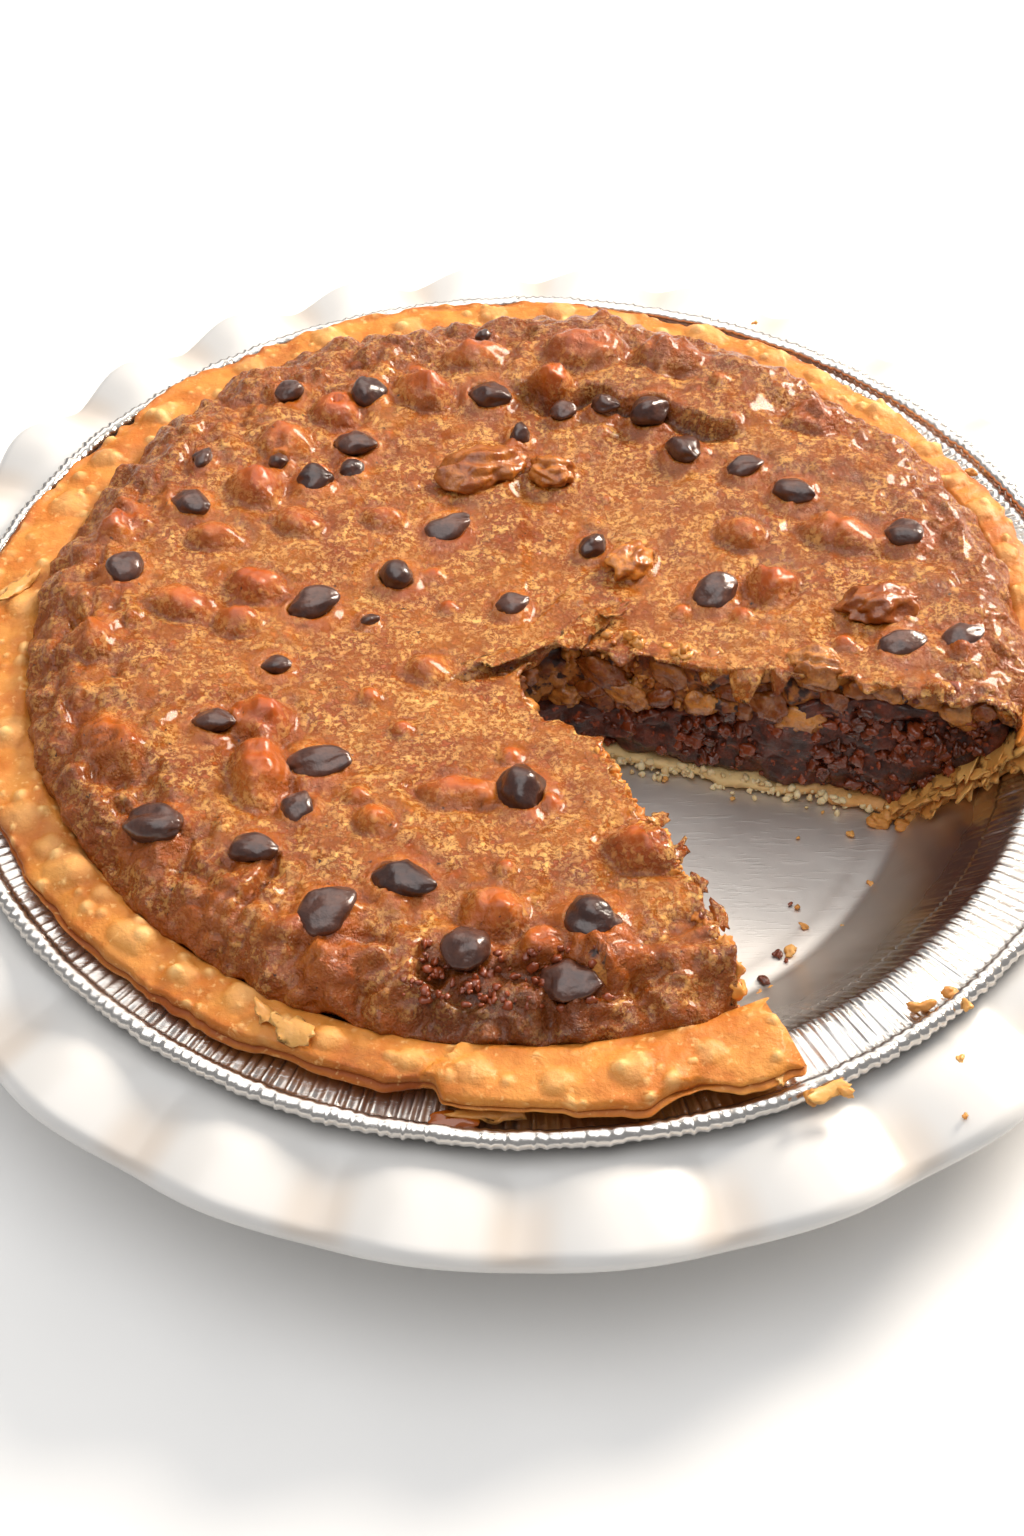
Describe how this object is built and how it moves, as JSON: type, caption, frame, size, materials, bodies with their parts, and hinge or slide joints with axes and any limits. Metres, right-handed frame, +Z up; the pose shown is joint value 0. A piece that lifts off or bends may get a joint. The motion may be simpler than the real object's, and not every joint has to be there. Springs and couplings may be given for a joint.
{
  "type": "chocolate nut pie",
  "caption": "Round baked nut pie with a dark chocolate layer and one slice taken out, in its foil tin inside a white ceramic pie dish with a ruffled rim.",
  "frame": {"origin": "middle of the dish's foot, on the table", "axes": "+Z up through the middle of the pie, -Y the front, +X right; the missing slice lies between +X and -Y"},
  "size_m": [0.2847, 0.284, 0.0523],
  "materials": {
    "glazed_dish": "smooth white glaze",
    "foil": "bright crimped foil",
    "pastry": "baked golden pastry",
    "chocolate_filling": "moist dark chocolate",
    "baked_skin": "thin crackled golden skin with a soft shine",
    "morsel": "satin dark chocolate",
    "walnut": "roasted walnut"
  },
  "bodies": {
    "root": {"dish": "glazed_dish", "tin": "foil", "crust": "pastry", "chocolate_layer": "chocolate_filling", "nut_layer": "baked_skin", "morsel_01": "morsel", "morsel_02": "morsel", "morsel_03": "morsel", "morsel_04": "morsel", "morsel_05": "morsel", "morsel_06": "morsel", "morsel_07": "morsel", "morsel_08": "morsel", "morsel_09": "morsel", "morsel_10": "morsel", "morsel_11": "morsel", "morsel_12": "morsel", "morsel_13": "morsel", "morsel_14": "morsel", "morsel_15": "morsel", "morsel_16": "morsel", "morsel_17": "morsel", "morsel_18": "morsel", "morsel_19": "morsel", "morsel_20": "morsel", "morsel_21": "morsel", "morsel_22": "morsel", "morsel_23": "morsel", "morsel_24": "morsel", "morsel_25": "morsel", "morsel_26": "morsel", "morsel_27": "morsel", "morsel_28": "morsel", "morsel_29": "morsel", "morsel_30": "morsel", "morsel_31": "morsel", "morsel_32": "morsel", "morsel_33": "morsel", "morsel_34": "morsel", "morsel_35": "morsel", "morsel_36": "morsel", "morsel_37": "morsel", "morsel_38": "morsel", "morsel_39": "morsel", "morsel_40": "morsel", "walnut_1": "walnut", "walnut_2": "walnut", "walnut_3": "walnut", "walnut_4": "walnut"}
  },
  "joints": []
}
